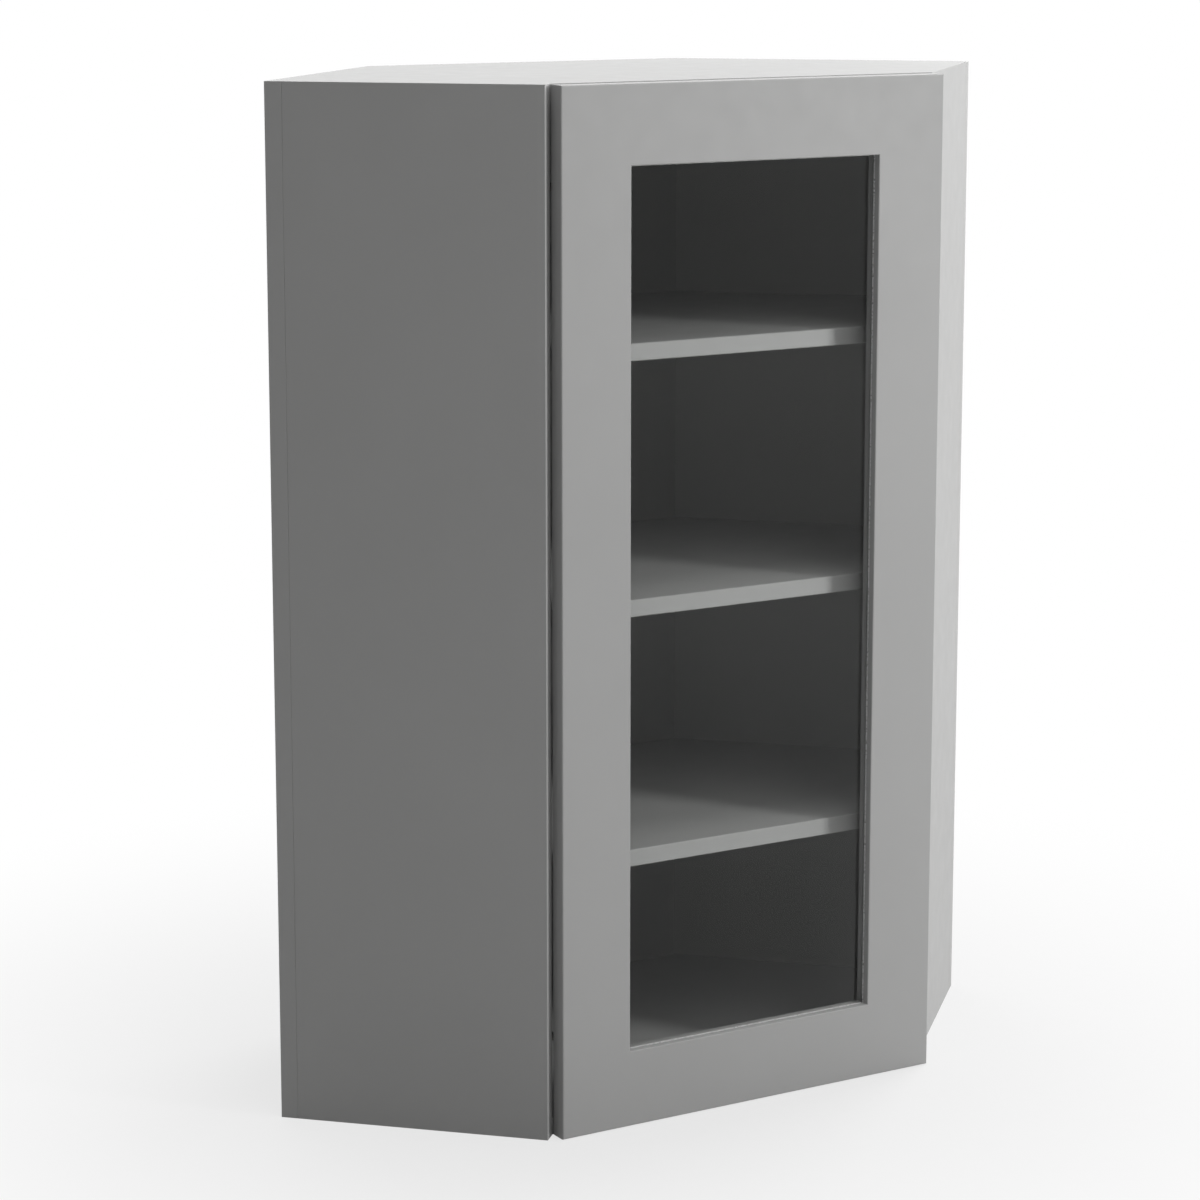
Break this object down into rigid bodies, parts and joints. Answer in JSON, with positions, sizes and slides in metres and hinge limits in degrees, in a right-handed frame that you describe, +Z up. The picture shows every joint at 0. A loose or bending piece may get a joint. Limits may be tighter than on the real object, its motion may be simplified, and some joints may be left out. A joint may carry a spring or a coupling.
{
  "type": "corner wall cabinet",
  "caption": "Tall wall cabinet for a room corner, with a framed glass door across its diagonal front, loose shelves and a clipped back corner.",
  "frame": {"origin": "under the middle of the bounding box, at the cabinet's underside", "axes": "+X along the door towards its lock side, +Y from the door towards the room's corner, +Z up; the two walls lie at 45 degrees to X and Y"},
  "size_m": [0.8616, 0.4478, 1.0668],
  "materials": {
    "carcass_paint": "mid grey satin lacquer on board",
    "shelf_paint": "mid grey satin lacquer on board",
    "door_paint": "mid grey satin lacquer on fibreboard",
    "bead_paint": "mid grey satin lacquer",
    "beech_dowel": "bare turned beech",
    "clear_glass": "clear float glass",
    "hinge_nickel": "nickel plated pressed steel",
    "pin_nickel": "nickel plated steel",
    "screw_steel": "zinc plated steel",
    "zinc_cam": "die cast zinc",
    "clear_bumper": "translucent silicone"
  },
  "bodies": {
    "carcass": {"left_side_panel": "carcass_paint", "right_side_panel": "carcass_paint", "left_back_panel": "carcass_paint", "right_back_panel": "carcass_paint", "corner_back_panel": "carcass_paint", "bottom_panel": "carcass_paint", "top_panel": "carcass_paint", "carcass_dowels": "beech_dowel", "mitre_dowels": "beech_dowel", "cam_discs": "zinc_cam", "cam_bolts": "screw_steel", "lower_shelf_pins": "pin_nickel", "middle_shelf_pins": "pin_nickel", "upper_shelf_pins": "pin_nickel", "lower_hinge_arm": "hinge_nickel", "lower_hinge_plate": "hinge_nickel", "upper_hinge_arm": "hinge_nickel", "upper_hinge_plate": "hinge_nickel", "hinge_plate_screws": "screw_steel", "hinge_arm_screws": "screw_steel"},
    "door": {"hinge_stile": "door_paint", "lock_stile": "door_paint", "door_top_rail": "door_paint", "door_bottom_rail": "door_paint", "door_glass": "clear_glass", "glazing_bead_bottom": "bead_paint", "glazing_bead_lock_side": "bead_paint", "glazing_bead_top": "bead_paint", "glazing_bead_hinge_side": "bead_paint", "bead_brads": "screw_steel", "door_bumpers": "clear_bumper", "lower_hinge_cup": "hinge_nickel", "upper_hinge_cup": "hinge_nickel", "lower_hinge_pin": "screw_steel", "upper_hinge_pin": "screw_steel", "hinge_cup_screws": "screw_steel"},
    "shelf_low": {"lower_shelf": "shelf_paint"},
    "shelf_mid": {"middle_shelf": "shelf_paint"},
    "shelf_high": {"upper_shelf": "shelf_paint"}
  },
  "joints": [
    {"name": "door_swing", "type": "hinge", "parent": "carcass", "child": "door", "pos_m": [-0.20983, -0.21437, 0.5334], "axis": [0, 0, -1], "range_deg": [0, 95]},
    {"name": "shelf_low_lift", "type": "slide", "parent": "carcass", "child": "shelf_low", "axis": [0, 0, 1], "range_m": [0, 0.23]},
    {"name": "shelf_mid_lift", "type": "slide", "parent": "carcass", "child": "shelf_mid", "axis": [0, 0, 1], "range_m": [0, 0.23]},
    {"name": "shelf_high_lift", "type": "slide", "parent": "carcass", "child": "shelf_high", "axis": [0, 0, 1], "range_m": [0, 0.13]}
  ]
}
